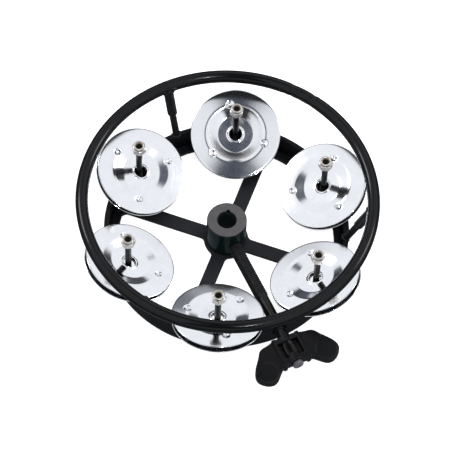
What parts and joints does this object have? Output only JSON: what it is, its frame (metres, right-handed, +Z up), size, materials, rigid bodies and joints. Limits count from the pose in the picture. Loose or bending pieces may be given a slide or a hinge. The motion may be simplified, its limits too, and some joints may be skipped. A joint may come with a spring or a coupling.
{
  "type": "tambourine",
  "caption": "Rod-mounted steel tambourine: hoop over a spoked band, loose paired jingles on studs with lock nuts, centre hub with a radial wing screw.",
  "frame": {"origin": "centre of the hub's rod bore at the underside of the spoked plate", "axes": "+Z up along the rod bore, from the plate to the hoop; +X along one spoke, with the wing screw at -45 degrees from +X"},
  "size_m": [0.1644, 0.1644, 0.0485],
  "materials": {
    "frame_black": "gloss black powder coat",
    "hub_black": "gloss black coat",
    "screw_black": "black oxide",
    "jingle_steel": "bright rolled stainless",
    "zinc_nut": "bright zinc plate",
    "nylon": "nylon",
    "handle_black": "satin moulded",
    "button_grey": "satin"
  },
  "bodies": {
    "frame": {"upper_hoop": "frame_black", "lower_band": "frame_black", "spider_plate": "frame_black", "clamp_hub": "hub_black", "jingle_posts": "frame_black", "lock_nuts": "zinc_nut", "nylon_rings": "nylon", "pillar_1": "frame_black", "pillar_2": "frame_black", "pillar_3": "frame_black"},
    "lower_jingle_a": {"jingle_a_lower": "jingle_steel"},
    "upper_jingle_a": {"jingle_a_upper": "jingle_steel"},
    "lower_jingle_b": {"jingle_b_lower": "jingle_steel"},
    "upper_jingle_b": {"jingle_b_upper": "jingle_steel"},
    "lower_jingle_c": {"jingle_c_lower": "jingle_steel"},
    "upper_jingle_c": {"jingle_c_upper": "jingle_steel"},
    "lower_jingle_d": {"jingle_d_lower": "jingle_steel"},
    "upper_jingle_d": {"jingle_d_upper": "jingle_steel"},
    "lower_jingle_e": {"jingle_e_lower": "jingle_steel"},
    "upper_jingle_e": {"jingle_e_upper": "jingle_steel"},
    "lower_jingle_f": {"jingle_f_lower": "jingle_steel"},
    "upper_jingle_f": {"jingle_f_upper": "jingle_steel"},
    "dog_point": {"screw_dog_point": "screw_black"},
    "wing_screw": {"wing_screw": "screw_black", "wing_handle": "handle_black", "screw_end_button": "button_grey"}
  },
  "joints": [
    {"name": "jingle_a_lower_slide", "type": "slide", "parent": "frame", "child": "lower_jingle_a", "axis": [0, 0, 1], "range_m": [0, 0.008]},
    {"name": "jingle_a_upper_slide", "type": "slide", "parent": "lower_jingle_a", "child": "upper_jingle_a", "axis": [0, 0, 1], "range_m": [0, 0.0045]},
    {"name": "jingle_b_lower_slide", "type": "slide", "parent": "frame", "child": "lower_jingle_b", "axis": [0, 0, 1], "range_m": [0, 0.008]},
    {"name": "jingle_b_upper_slide", "type": "slide", "parent": "lower_jingle_b", "child": "upper_jingle_b", "axis": [0, 0, 1], "range_m": [0, 0.0045]},
    {"name": "jingle_c_lower_slide", "type": "slide", "parent": "frame", "child": "lower_jingle_c", "axis": [0, 0, 1], "range_m": [0, 0.008]},
    {"name": "jingle_c_upper_slide", "type": "slide", "parent": "lower_jingle_c", "child": "upper_jingle_c", "axis": [0, 0, 1], "range_m": [0, 0.0045]},
    {"name": "jingle_d_lower_slide", "type": "slide", "parent": "frame", "child": "lower_jingle_d", "axis": [0, 0, 1], "range_m": [0, 0.008]},
    {"name": "jingle_d_upper_slide", "type": "slide", "parent": "lower_jingle_d", "child": "upper_jingle_d", "axis": [0, 0, 1], "range_m": [0, 0.0045]},
    {"name": "jingle_e_lower_slide", "type": "slide", "parent": "frame", "child": "lower_jingle_e", "axis": [0, 0, 1], "range_m": [0, 0.008]},
    {"name": "jingle_e_upper_slide", "type": "slide", "parent": "lower_jingle_e", "child": "upper_jingle_e", "axis": [0, 0, 1], "range_m": [0, 0.0045]},
    {"name": "jingle_f_lower_slide", "type": "slide", "parent": "frame", "child": "lower_jingle_f", "axis": [0, 0, 1], "range_m": [0, 0.008]},
    {"name": "jingle_f_upper_slide", "type": "slide", "parent": "lower_jingle_f", "child": "upper_jingle_f", "axis": [0, 0, 1], "range_m": [0, 0.0045]},
    {"name": "screw_advance", "type": "slide", "parent": "frame", "child": "dog_point", "axis": [-0.7071, 0.7071, 0], "range_m": [-0.00381, 0.00254]},
    {"name": "screw_turn", "type": "hinge", "parent": "dog_point", "child": "wing_screw", "pos_m": [0.03401, -0.03401, 0.0095], "axis": [-0.7071, 0.7071, 0], "range_deg": [-1085, 725]}
  ],
  "couplings": [
    {"joint": "screw_turn", "follows": "screw_advance", "rad_per_m": 4947.4}
  ]
}
